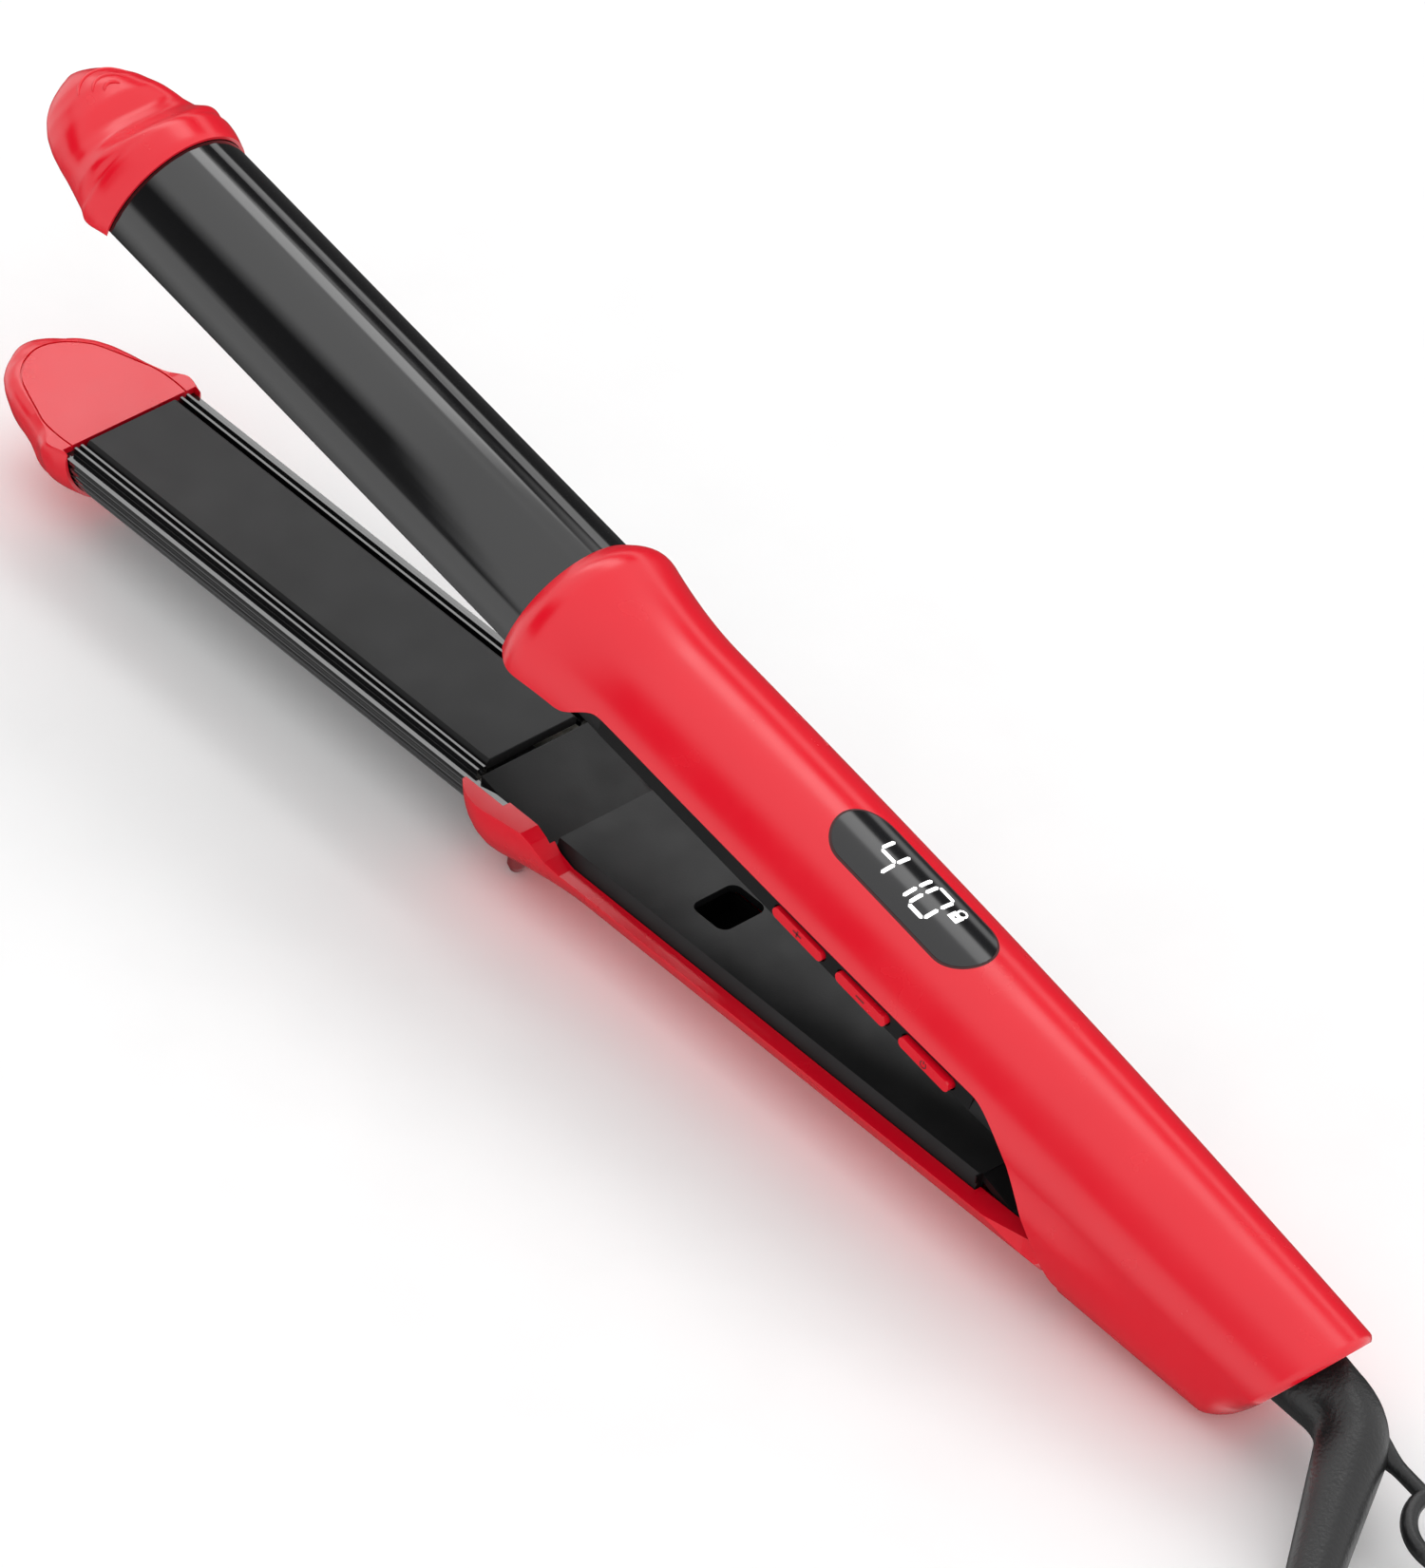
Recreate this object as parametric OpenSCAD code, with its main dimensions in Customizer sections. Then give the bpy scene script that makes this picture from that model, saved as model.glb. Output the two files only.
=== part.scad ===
// Two-in-one hair straightener and curling iron, lying open on a table.
// Frame: +X points from the tips to the cord end, +Z is up and Z = 0 is the table.
// Arm coordinates start at the hinge pin. A station u is the distance ahead of the pin,
// so it lies at x = -u, v is y, and w is z, square to the plane where the arms meet.

/* [Pose and frame] */
// angle between the arms at rest, in degrees
open_angle = 10.6; // [4:0.1:16]
// height of the hinge pin above the table
hinge_z = 21; // [19:0.1:24]
// distance of the hinge pin behind the origin
hinge_x = 145.3; // [140:0.1:150]

/* [Heated barrels] */
// outer radius of the closed pair of barrels
barrel_r = 16; // [12:0.5:19]
// wall of a barrel
barrel_wall = 1.6; // [1:0.1:2.5]
// height of a barrel's edge above the parting plane
barrel_edge = 1.8; // [1:0.1:3]
// station where a barrel ends inside its collar
barrel_rear = 168; // [160:1:172]
// station where a barrel ends inside its tip cap
barrel_front = 294; // [291:0.5:294]

/* [Plates] */
// width of a ceramic plate
plate_width = 22; // [16:1:26]
// station of a plate's rear end
plate_rear = 178.3; // [176:0.1:190]
// station of a plate's front end
plate_front = 289.4; // [280:0.1:290]
// thickness of a plate
plate_thick = 2.2; // [1.5:0.1:3]
// gap between a plate's face and the parting plane
plate_gap = 0.15; // [0.1:0.05:0.5]
// travel of a floating plate
plate_float = 0.8; // [0.3:0.1:1.2]

/* [Handles] */
// radius of the upper handle ahead of its taper
handle_r0 = 17.05; // [15:0.05:19]
// how much the upper handle's radius falls towards the cord end
handle_taper = 4.4; // [2:0.1:6]
// rise of the upper collar above the handle
collar_rise = 2.8; // [1:0.1:4]
// wall of the handles
handle_wall = 1.8; // [1.2:0.1:2.5]
// radius of the lower handle
lower_r0 = 17.65; // [15:0.05:19]
// rise of the lower collar above the handle
lower_rise = 2.45; // [1:0.05:4]
// distance of the lower handle's rim below the parting plane
lower_rim = 5.9; // [4:0.1:7]

/* [Hinge housing] */
// wall of the housing
house_wall = 1.5; // [1.2:0.1:2]
// squareness of the housing's lower corners
corner_n = 3.2; // [2:0.1:5]
// how far the rear face leans back, per unit of height
end_lean = 0.466; // [0:0.01:0.6]
// radius of the fillet round the lower half of the rear edge
end_fillet = 8; // [4:0.5:10]
// radius of the hinge pin
pin_r = 2.5; // [1.5:0.1:3]
// running clearance of the knuckles on the pin
pin_clear = 0.05; // [0.02:0.01:0.1]

/* [Tip caps] */
// station of a cap's tip
cap_tip = 320.6; // [310:0.1:330]
// half width of a cap at its flanges
cap_half = 18; // [17:0.1:20]
// height of a cap's rim
cap_rim = 17.3; // [17:0.1:20]
// height of a cap in its thumb dip
cap_dip = 11; // [9:0.1:12]
// height of a cap ahead of the dip
cap_nose = 12.6; // [11:0.1:14]

/* [Display and buttons] */
// station of the display's middle
display_u = 86.3; // [80:0.1:95]
// length of the display window
display_len = 38.6; // [30:0.1:45]
// width of the display window
display_width = 13; // [10:0.1:15]
// station of the middle button
button_u = 78.7; // [70:0.1:90]
// distance between neighbouring buttons
button_pitch = 17.1; // [15:0.1:20]
// length of a button
button_len = 13.3; // [8:0.1:15]
// height of a button
button_tall = 2.3; // [1.5:0.1:3]
// travel of a button
button_travel = 0.8; // [0.3:0.1:1.2]

/* [Latch] */
// station of the latch hole's middle
latch_u = 125; // [120:0.5:130]
// length of the latch hole
latch_len = 9; // [7:0.5:12]
// width of the latch hole
latch_width = 11; // [8:0.5:14]
// travel of the lock slider
lock_travel = 2.6; // [1.5:0.1:3]

/* [Cord] */
// diameter of the cord
cord_d = 6; // [4:0.5:8]
// distance of the boot's elbow behind the pin
elbow_u = 38; // [34:1:44]
// radius of the boot where it leaves the housing
boot_r = 7.7; // [6:0.1:9]

/* [Hidden] */
$fn = 96;
eps = 0.02;
red = [0.93, 0.16, 0.22];
dark_red = [0.55, 0.07, 0.1];
black = [0.1, 0.1, 0.11];
dark_grey = [0.2, 0.2, 0.21];
ceramic = [0.27, 0.27, 0.28];
silver = [0.75, 0.75, 0.77];
white = [0.9, 0.9, 0.88];
green = [0.1, 0.4, 0.2];

cover_floor = 1.5;
cover_top = 5.9;
cover_half = 15.1;
panel_top = -3;
panel_thick = 1.6;
edge_high = 6;
edge_low = 1.2;
seam_w = -16;
house_rear = -25;
cap_base = 1;
cap_pocket = 294.5;
button_w = 3.4;
ring_steps = 43;
cap_steps = 36;

shell_stations = [175.5, 174.6, 173.2, 171.4, 169.4, 167.4, 166.6, 164, 161, 159, 157, 155, 153, 151,
    146, 128, 110, 92, 74, 60, 52, 49.5, 46.5, 43.5, 40.5, 37.5, 34.5, 31.5, 29, 27, 25, 23.5, 22,
    16, 8, 0, -7, -13, -17.6, -19.2, -20.8, -22.4, -23.9, -24.6, -25];
cover_stations = [20.8, 14, 7, 0, -7, -13, -17.6, -19.2, -20.8, -22.4, -23.9, -24.6, -25];
cap_stations = [288.8, 289.4, 290.2, 291.2, 292.4, 293.6, 294.6, 295.4, 296.2, 297.2, 298.4, 299.8,
    301.2, 302.8, 304.6, 306.5, 308.5, 310.5, 312.5, 314.2, 315.6, 316.2, 317, 317.9, 318.7, 319.4,
    319.9, 320.3, cap_tip];
// Station and half width: at a cap's widest, and at the edge of its flat face.
cap_plan = [[288.8, cap_half - 1.4], [290, cap_half - 1], [292, cap_half - 0.3], [294.2, cap_half],
    [295.4, cap_half - 0.6], [297, 16.4], [299.5, 15.6], [302, 14.9], [305, 14.2], [309, 13],
    [312.5, 11.5], [315.5, 9.4], [317.5, 7.2], [319.2, 4.4], [320.2, 2.2], [cap_tip, 0.6]];
cap_face = [[288.8, cap_half - 2.1], [290, cap_half - 1.8], [292.8, cap_half - 0.8],
    [294, cap_half - 1], [295.5, 15.6], [297, 14.7], [299.5, 13.9], [302.6, 12.7], [305.5, 12],
    [308.7, 10.9], [311.8, 9], [314.4, 5.9], [315.8, 2.4], [316.2, 0.3]];
// Station and height of a cap.
cap_profile = [[288.8, cap_rim - 0.6], [290, cap_rim - 0.3], [294.6, cap_rim], [296, cap_rim - 0.5],
    [298, 14.2], [301, cap_dip + 0.6], [304, cap_dip], [308, cap_nose - 0.3], [312, cap_nose],
    [315, cap_nose - 1.2], [317.5, cap_nose - 3.2], [319.2, cap_nose - 5], [320.2, 6.2],
    [cap_tip, 5.2]];

// The cord: from the boot's end, down to the table, into the hank and out to the plug.
boot_end = [206.5, -36, 7.5];
lead_route = [[200, -26.3, 9.2], boot_end, [213, -43.5, 5.8], [224, -49.5, 3.6], [236, -52, 3],
    [250, -52, 3], [272, -52, 3], [284, -52, 3]];
tail_route = [[334, -52, 9.2], [346, -52, 9.2], [352, -52, 8.8], [358, -52, 8], [364, -52, 7],
    [370, -52, 6.5], [382, -52, 6.5]];
hank_size = [138, 66, 12.4];
hank_at = [313, -22];
plug_at = [382, -52, 6.5];

elbow = [hinge_x + elbow_u * cos(open_angle), 0, hinge_z - elbow_u * sin(open_angle)];
leg = boot_end - elbow;

// ---- frames and extrusions ----

module upper() {
    translate([hinge_x, 0, hinge_z])
        rotate([0, open_angle, 0])
            children();
}

module lower() {
    translate([hinge_x, 0, hinge_z])
        children();
}

// A section drawn as [v, w], from station u0 to station u1.
module along(u0, u1) {
    translate([-u1, 0, 0])
        rotate([90, 0, 90])
            linear_extrude(u1 - u0)
                children();
}

// A side outline drawn as [x, w], from v0 to v1.
module across(v0, v1) {
    translate([0, v1, 0])
        rotate([90, 0, 0])
            linear_extrude(v1 - v0)
                children();
}

// A plan outline drawn as [x, v], from w0 to w1.
module rising(w0, w1) {
    translate([0, 0, w0])
        linear_extrude(w1 - w0)
            children();
}

// A body of revolution about the arm's axis, its outline given as [u, radius].
module turned(outline) {
    rotate([0, 90, 0])
        rotate_extrude()
            polygon([for (p = outline) [p[1], -p[0]]]);
}

module stadium(length, width) {
    square([length - width, width], center = true);
    for (side = [-1, 1])
        translate([side * (length - width) / 2, 0])
            circle(d = width);
}

module rounded(size, r) {
    square([size[0] - 2 * r, size[1]], center = true);
    square([size[0], size[1] - 2 * r], center = true);
    for (i = [-1, 1])
        for (j = [-1, 1])
            translate([i * (size[0] / 2 - r), j * (size[1] / 2 - r)])
                circle(r);
}

// ---- lofts ----

function clamp01(t) = max(0, min(1, t));
function ease(t) = let (s = clamp01(t)) s * s * (3 - 2 * s);
function reversed(list) = [for (i = [len(list) - 1:-1:0]) list[i]];

// Radius of the upper handle's round top.
function handle_r(u) =
    u < 148 ? handle_r0 - handle_taper * pow((148 - u) / 176, 2.35)
    : u < 170 ? handle_r0 + collar_rise * pow((u - 148) / 22, 1.8)
    : handle_r0 + collar_rise - 3.6 * pow((u - 170) / 6, 1.8);

// Radius of the lower handle, which narrows to a neck inside the housing.
function lower_r(u) =
    u < 24.5 ? 14.4
    : u < 29 ? 14.4 + (lower_r0 - 14.4) * (u - 24.5) / 4.5
    : u < 148 ? lower_r0
    : u < 170 ? lower_r0 + lower_rise * pow((u - 148) / 22, 1.6)
    : lower_r0 + lower_rise - 3.1 * pow((u - 170) / 8, 2.2);

// Height of the upper shell's lower edge: low at the collar, high along the grip, and falling
// round the hinge as the housing's side.
function edge_w(u) =
    u > 152 ? edge_high - (edge_high - edge_low) * ease((u - 151.5) / 8)
    : u > 50 ? edge_high
    : u > 22 ? edge_high - 22 * pow((50 - u) / 28, 1.5)
    : seam_at(u);

function fillet_at(u) =
    let (into = max(0, min(0.925 * end_fillet, -17.6 - u)))
    end_fillet - sqrt(end_fillet * end_fillet - into * into);
function house_depth(u) = 20.39 + 0.0711 * u - fillet_at(u);
function seam_at(u) = max(seam_w, -0.84 * house_depth(u));
function house_flare(u) = 1.3 * clamp01(u / 25);
function lean(u) = end_lean * clamp01(u / house_rear);
function wall_at(u) =
    u > 167 ? handle_r(u) - barrel_r - 0.1
    : house_wall + (handle_wall - house_wall) * clamp01((u - 50) / 8);
function end_rounding(u) = u < -23.9 ? 0.8 * pow((-23.9 - u) / 1.1, 2) : 0;

// A point of the handle's section. The angle is 0 at the near side, 180 at the far side, and
// beyond those two it runs down the housing's squarer lower half.
function section_point(u, angle, inset) =
    let (low = angle < 0 || angle > 180,
         turn = angle < 0 ? -angle : angle - 180,
         r = handle_r(u) - inset,
         deep = house_depth(u) - inset,
         w = low ? -deep * pow(sin(turn), 2 / corner_n) : r * sin(angle),
         half = r + house_flare(u) * clamp01(-w / 6) - fillet_at(u) * clamp01(-w / 8),
         v = low ? (angle < 0 ? -1 : 1) * half * pow(cos(turn), 2 / corner_n) : -r * cos(angle))
    [-u + lean(u) * w, v, w];

function edge_angle(w, r, deep) = w >= 0 ? -asin(w / r) : asin(pow(-w / deep, corner_n / 2));

function open_arc(u, inset) =
    let (e = edge_angle(edge_w(u), handle_r(u) - inset, house_depth(u) - inset))
    [for (i = [0:ring_steps]) section_point(u, -e + (180 + 2 * e) * i / ring_steps, inset)];

function bottom_arc(u, inset, w) =
    let (e = edge_angle(w, handle_r(u) - inset, house_depth(u) - inset))
    [for (i = [0:20])
        let (t = e + (180 - 2 * e) * i / 20)
        section_point(u, t <= 90 ? 180 + t : t - 180, inset)];

function closed_ring(u, inset) =
    [for (i = [0:51]) section_point(u, -90 + 360 * i / 52, inset)];

// Closed rings joined into a solid. A ring that is an outer arc followed by the inner arc
// reversed gets end faces that bridge the wall.
module skinned(rings, wall = false) {
    n = len(rings[0]);
    last = (len(rings) - 1) * n;
    sides = [for (i = [0:len(rings) - 2])
        for (j = [0:n - 1])
            let (a = i * n + j, b = i * n + (j + 1) % n)
            each [[a, b, b + n], [a, b + n, a + n]]];
    bridge = [for (j = [0:n / 2 - 2]) each [[j, n - 1 - j, n - 2 - j], [j, n - 2 - j, j + 1]]];
    fan = [for (j = [1:n - 2]) [0, j + 1, j]];
    first_face = wall ? bridge : fan;
    last_face = [for (f = first_face) [f[2] + last, f[1] + last, f[0] + last]];
    polyhedron([for (r = rings) each r], concat(sides, first_face, last_face), convexity = 8);
}

// ---- the cord's tubes ----

function unit(a) = a / norm(a);

function between(p, t) =
    0.5 * (2 * p[1] + (p[2] - p[0]) * t + (2 * p[0] - 5 * p[1] + 4 * p[2] - p[3]) * t * t
        + (3 * p[1] - p[0] - 3 * p[2] + p[3]) * t * t * t);

function smooth_route(route) =
    let (end = len(route) - 2)
    concat([for (i = [1:end - 1])
        for (t = [0, 0.5])
            between([for (k = [-1:2]) route[i + k]], t)], [route[end]]);

function tube_rings(path, r) =
    [for (i = [0:len(path) - 1])
        let (along_it = unit(path[min(i + 1, len(path) - 1)] - path[max(i - 1, 0)]),
             side = unit(cross(along_it, [0, 0, 1])),
             over = cross(side, along_it))
        [for (k = [0:9]) path[i] + r * (cos(36 * k) * side + sin(36 * k) * over)]];

// ---- upper arm ----

module upper_handle_shell() {
    color(red)
        upper()
            difference() {
                union() {
                    skinned([for (u = shell_stations)
                        concat(open_arc(u, end_rounding(u)), reversed(open_arc(u, wall_at(u))))], true);
                    for (u = [58, 146])
                        translate([-u, 0, 6.2])
                            cylinder(r = 3, h = handle_r(u) - 6.2 - handle_wall / 2);
                }
                translate([-display_u, 0, 10])
                    linear_extrude(12)
                        stadium(display_len, display_width);
                for (u = [58, 146])
                    translate([-u, 0, 6])
                        cylinder(r = 1.25, h = 6);
            }
}

module hinge_cover() {
    color(red)
        upper()
            skinned([for (u = cover_stations)
                concat(bottom_arc(u, end_rounding(u), seam_at(u) - 0.1),
                    reversed(bottom_arc(u, house_wall, seam_at(u) - 0.1)))], true);
}

module rear_end_cap() {
    color(black)
        upper()
            difference() {
                skinned([for (u = [-20.8, -22.4]) closed_ring(u, house_wall + 0.15)]);
                along(-40, 0)
                    circle(10.5);
            }
}

module upper_inner_cover() {
    color(black)
        upper()
            difference() {
                intersection() {
                    rising(cover_floor, cover_top)
                        polygon([[-167.4, -cover_half], [-84, -cover_half], [-50, -14.2], [-24, -13],
                            [-24, 13], [-50, 14.2], [-84, cover_half], [-167.4, cover_half]]);
                    turned([[20, 0], [20, 13.2], [50.5, 14.2], [50.5, 18], [151, 18], [151, cover_half],
                        [168, cover_half], [168, 0]]);
                }
                rising(cover_floor + 1.6, cover_top + 1)
                    polygon([[-165.4, -12.9], [-54, -12.9], [-50, -11.9], [-22, -10.8],
                        [-22, 10.8], [-50, 11.9], [-54, 12.9], [-165.4, 12.9]]);
                for (k = [-1, 0, 1])
                    across(-20, -11)
                        translate([-button_u - k * button_pitch, button_w])
                            stadium(button_len + 0.7, button_tall + 0.7);
                across(12, 20)
                    translate([-124 - 0.3, 3.1])
                        square([10 + lock_travel + 0.9, 1.8]);
                rising(1, 4)
                    translate([-126.8, -4.4])
                        square([6.3, 8.8]);
                for (u = [58, 146])
                    translate([-u, 0, 1])
                        cylinder(r = 1.5, h = 3);
                for (u = [58, 146])
                    translate([-u, 0, 1])
                        cylinder(r = 2.8, h = 1.7);
            }
}

// The curved wall of one barrel with the two strips that flank its plate.
module barrel_section(strips) {
    intersection() {
        difference() {
            circle(barrel_r);
            circle(barrel_r - barrel_wall);
        }
        translate([-20, barrel_edge])
            square([40, 20]);
    }
    if (strips)
        for (side = [-1, 1])
            translate([side * 13.05 - 1.55, barrel_edge])
                square([3.1, 1.2]);
}

module upper_barrel() {
    color(black)
        upper() {
            along(barrel_rear, 177.5)
                barrel_section(false);
            along(177.5, barrel_front)
                barrel_section(true);
        }
}

// One section of a cap: flat below, rounded at the face's edge, squarish over the thumb dip.
function cap_ring(u) =
    let (a = lookup(u, cap_plan), f = lookup(u, cap_face), h = lookup(u, cap_profile),
         k = clamp01((u - 316.2) / (cap_tip - 316.2)),
         b = cap_base + 3.4 * (1 - sqrt(1 - k * k)),
         n = 2 + 1.1 * ease((u - 295) / 3.5) * (1 - ease((u - 302) / 12)))
    [for (i = [0:cap_steps])
        let (t = 180 * i / cap_steps,
             w = b + (h - b) * pow(sin(t), 2 / n),
             q = clamp01(1 - (w - b) / min(3.6, (h - b) / 2)),
             v = a * pow(abs(cos(t)), 2 / n) - (a - f) * (1 - sqrt(1 - q * q)))
        [-u, -sign(cos(t)) * max(0, v), w]];

module tip_cap() {
    difference() {
        union() {
            skinned([for (u = reversed(cap_stations)) cap_ring(u)]);
            rising(0.25, cap_base + 0.3)
                polygon([[-290, -13.8], [-299, -13.4], [-303, -12], [-307, -10.6], [-311, -8.6],
                    [-314, -5.2], [-315.6, 0], [-314, 5.2], [-311, 8.6], [-307, 10.6],
                    [-303, 12], [-299, 13.4], [-290, 13.8]]);
        }
        intersection() {
            along(286, cap_pocket)
                circle(barrel_r + 0.1);
            translate([-300, -20, 1.7])
                cube([20, 40, 20]);
        }
        translate([-290, -14.4, -1])
            cube([4, 28.8, 10]);
    }
}

module upper_tip_cap() {
    color(red)
        upper()
            tip_cap();
}

// Half tube that keeps the heat inside the barrel, with a bulkhead at the collar.
module insulator() {
    along(172, 287)
        intersection() {
            difference() {
                circle(14.2);
                circle(12.4);
            }
            translate([-20, 3.4])
                square([40, 20]);
        }
    along(169.5, 172)
        difference() {
            intersection() {
                circle(14.2);
                translate([-20, 4.4])
                    square([40, 20]);
            }
            translate([0, 8])
                circle(3);
        }
}

module upper_insulator() {
    color(white)
        upper()
            insulator();
}

module buffers() {
    base = plate_gap + plate_thick + 3.6 + 2 * plate_float;
    for (u = [180.5, 279.5])
        translate([-u - 8, -5, base])
            cube([8, 10, 10.8 - base]);
}

module upper_buffers() {
    color(dark_grey)
        upper()
            buffers();
}

// Ceramic face with bevelled edges and two rails behind it.
module plate() {
    half = plate_width / 2;
    along(plate_rear, plate_front)
        polygon([[-half + 0.7, plate_gap], [half - 0.7, plate_gap], [half, plate_gap + 0.7],
            [half, plate_gap + plate_thick], [-half, plate_gap + plate_thick],
            [-half, plate_gap + 0.7]]);
    for (side = [-1, 1])
        along(plate_rear + 4, plate_front - 4)
            translate([side * 8.8 - 0.7, plate_gap + plate_thick - eps])
                square([1.4, 3.6]);
}

module upper_plate() {
    color(ceramic)
        upper()
            plate();
}

module heater() {
    along(200, 270)
        translate([-7, plate_gap + plate_thick])
            square([14, 3]);
}

module upper_heater() {
    color(silver)
        upper()
            heater();
}

module thermal_fuse() {
    color(silver)
        upper()
            translate([0, 0, plate_gap + plate_thick + 4.5])
                along(226, 238)
                    circle(1.5);
}

module display_lens() {
    front = display_u + display_len / 2;
    rear = display_u - display_len / 2;
    color(black)
        upper()
            intersection() {
                turned([[front + 1, 14.7], [front + 1, handle_r(front)], [display_u, handle_r(display_u)],
                    [rear - 1, handle_r(rear)], [rear - 1, 14.7]]);
                translate([-display_u, 0, 10])
                    linear_extrude(12)
                        stadium(display_len - 0.3, display_width - 0.3);
            }
}

module display_module() {
    color(white)
        upper()
            translate([-display_u - 16, -5, 10.6])
                cube([32, 10, 2.9]);
}

module control_board() {
    color(green)
        upper()
            translate([-108, -9.6, 3.3])
                cube([46, 1.2, 6]);
}

module tact_switches() {
    color(silver)
        upper()
            for (k = [-1, 0, 1])
                translate([-button_u - k * button_pitch - 3, button_travel - 11.6, 3.4])
                    cube([6, 1.2, 3]);
}

// A key in the side of the inner cover: cap outside, stem and stop inside.
module key_at(u) {
    translate([-u, 0, button_w]) {
        across(-15.8, -13.3)
            stadium(button_len, button_tall);
        across(-13.3 - eps, -12.3)
            translate([-3, 0.15])
                square([6, 1]);
        across(-12.5, -11.9)
            translate([-4, 0.15])
                square([8, 1.8]);
    }
}

module plus_button() {
    color(red)
        upper()
            key_at(button_u + button_pitch);
}

module minus_button() {
    color(red)
        upper()
            key_at(button_u);
}

module power_button() {
    color(red)
        upper()
            key_at(button_u - button_pitch);
}

module lock_slider() {
    color(black)
        upper() {
            translate([-129, -4, 3.4])
                cube([10, 16.5, 1.2]);
            translate([-126.5, -4, -11.5])
                cube([3, 8, 15]);
            translate([-123.5 - eps, -4, 0])
                across(0, 8)
                    polygon([[0, -5.1], [2.2, -5.1], [2.2, -8], [0, -11.5]]);
            translate([-124, 12.4, 3.4])
                cube([10 - lock_travel - 0.3, 3.3, 1.2]);
            translate([-124.6, 15.5, 2.2])
                cube([8.4, 1.6, 3]);
        }
}

module screw(length, head_r, shaft_r) {
    cylinder(r = head_r, h = 1.1);
    cylinder(r = shaft_r, h = length);
}

module upper_screws() {
    color(silver)
        upper()
            for (u = [58, 146])
                translate([-u, 0, cover_floor + 0.05])
                    screw(10, 2.6, 1.2);
}

module hinge_bracket() {
    color(silver)
        upper()
            difference() {
                union() {
                    for (side = [-1, 1])
                        across(side * 10.3 - 0.7, side * 10.3 + 0.7)
                            polygon([[-22, 4], [-22, 5.6], [2, 5.6], [5.5, 3], [5.5, -3], [3, -5.2],
                                [-3, -5.2]]);
                    translate([-22, -10.5, 4.2])
                        cube([8, 21, 1.4]);
                }
                across(-20, 20)
                    circle(pin_r + 0.02);
            }
}

module hinge_pin() {
    color(silver)
        upper()
            across(-11.4, 11.4)
                circle(pin_r);
}

// Torsion spring: close-wound turns on the pin, with a leg up into the handle.
module hinge_spring() {
    color(silver)
        upper() {
            rotate([90, 0, 0])
                rotate_extrude()
                    difference() {
                        union() {
                            for (k = [-3:3])
                                translate([3.6, k * 1.3])
                                    circle(0.75);
                            translate([3.3, -3.9])
                                square([0.6, 7.8]);
                        }
                        square([2.7, 20], center = true);
                    }
            translate([-3.6, 4, 0])
                rotate([0, -60, 0])
                    cylinder(r = 0.6, h = 11);
        }
}

module swivel_socket() {
    color(black)
        upper()
            along(-19, -11)
                difference() {
                    circle(10.2);
                    circle(6.05);
                }
}

// ---- lower arm ----

module lower_handle_shell() {
    outline = concat([[10, 0], [10, 14.4]],
        [for (u = [24.5, 29, 148, 151, 154, 157, 160, 163, 166, 169, 171, 173, 175, 176.5, 178])
            [u, lower_r(u)]],
        [[178, 0]]);
    color(red)
        lower()
            difference() {
                intersection() {
                    turned(outline);
                    across(-25, 25)
                        polygon([[-8, -lower_rim], [-151.5, -lower_rim], [-155, -4.8], [-158, -2.4],
                            [-160.5, -edge_low], [-180, -edge_low], [-180, -26], [-8, -26]]);
                    rising(-26, 0)
                        polygon([[-180, -22], [-46, -22], [-45, -17.65], [-42, -17], [-32, -14.7],
                            [-22, -13], [-8, -12.2], [-8, 12.2], [-22, 13], [-32, 14.7], [-42, 17],
                            [-45, 17.65], [-46, 22], [-180, 22]]);
                }
                intersection() {
                    turned([[34, 0], [34, 12.8], [46, 15.65], [150, 15.65], [166, 17.5], [166, 0]]);
                    translate([-190, -25, -25])
                        cube([180, 50, 25 - 7.6]);
                }
                translate([-158, -13.2, -7.7])
                    cube([112, 26.4, 10]);
                translate([-46.1, -11.8, -7.7])
                    cube([26, 23.6, 10]);
                translate([-180, -14.4, -7.7])
                    cube([23, 28.8, 10]);
                along(barrel_rear, 180)
                    circle(barrel_r + 0.1);
                translate([-166.1, -14, -14])
                    cube([3, 28, 14]);
                translate([-35, -9.5, -12])
                    cube([30, 19, 14]);
                for (u = [66, 140])
                    translate([-u, 0, -20])
                        cylinder(r = 1.5, h = 10);
                for (u = [66, 140])
                    translate([-u, 0, -20])
                        cylinder(r = 2.9, h = 3.6);
                for (side = [-1, 1])
                    translate([-170, side * 8.7, -22])
                        cylinder(r = 1.8, h = 4.6);
            }
}

module lower_inner_cover() {
    color(black)
        lower()
            difference() {
                union() {
                    along(46, 157)
                        polygon([[-13, -9], [-13, -6], [-12, panel_top], [12, panel_top], [13, -6],
                            [13, -9], [11.6, -9], [11.6, -6.2], [10.8, panel_top - panel_thick],
                            [-10.8, panel_top - panel_thick], [-11.6, -6.2], [-11.6, -9]]);
                    across(-13, 13)
                        polygon([[-46.5, panel_top], [-38, -6], [-24, -6], [-24, -7.5], [-39, -7.5],
                            [-46.5, panel_top - panel_thick]]);
                    across(-14.2, 14.2)
                        polygon([[-176, -0.6], [-158, -5], [-156.5, -5], [-156.5, -6.6], [-158, -6.6],
                            [-176, -2.2]]);
                    for (u = [66, 140])
                        translate([-u, 0, -15.4])
                            cylinder(r = 3, h = 12);
                }
                for (side = [-1, 1])
                    rising(-20, 0)
                        polygon([[-46.2, side * 11.5], [-46.2, side * 20], [-20, side * 20],
                            [-20, side * 11.5]]);
                rising(-10, 0)
                    translate([-latch_u, 0])
                        rounded([latch_len, latch_width], 2);
                for (u = [66, 140])
                    translate([-u, 0, -16])
                        cylinder(r = 1.25, h = 9);
            }
}

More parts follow.
